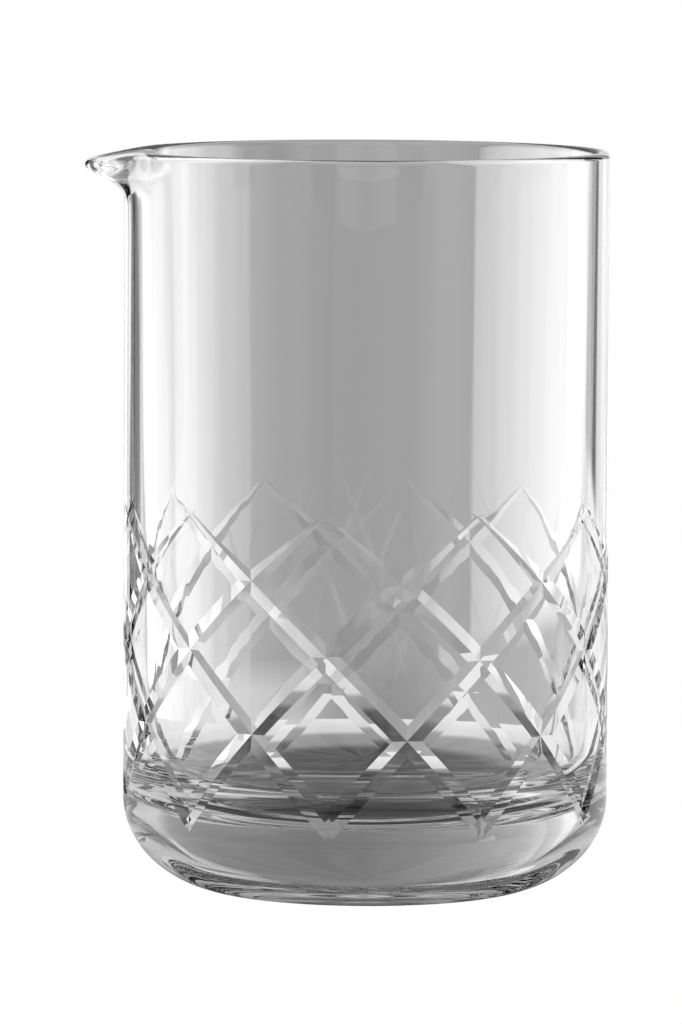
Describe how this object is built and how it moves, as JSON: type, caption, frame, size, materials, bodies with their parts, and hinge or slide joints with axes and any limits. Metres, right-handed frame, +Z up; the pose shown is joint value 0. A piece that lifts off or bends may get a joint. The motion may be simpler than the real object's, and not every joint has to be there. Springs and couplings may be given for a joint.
{
  "type": "mixing glass",
  "caption": "Straight-sided bar mixing glass in clear glass, with a heavy rounded base, a pouring beak on the rim and crossing V cuts round its lower half.",
  "frame": {"origin": "centre of the flat foot that the glass stands on, on the axis of the round wall", "axes": "+Z up along the axis of the wall, -X the way the glass pours, +Y completes a right-handed frame"},
  "size_m": [0.1028, 0.095, 0.1454],
  "materials": {
    "glass": "clear, colourless, polished"
  },
  "bodies": {
    "root": {"glass_body": "glass"}
  },
  "joints": []
}
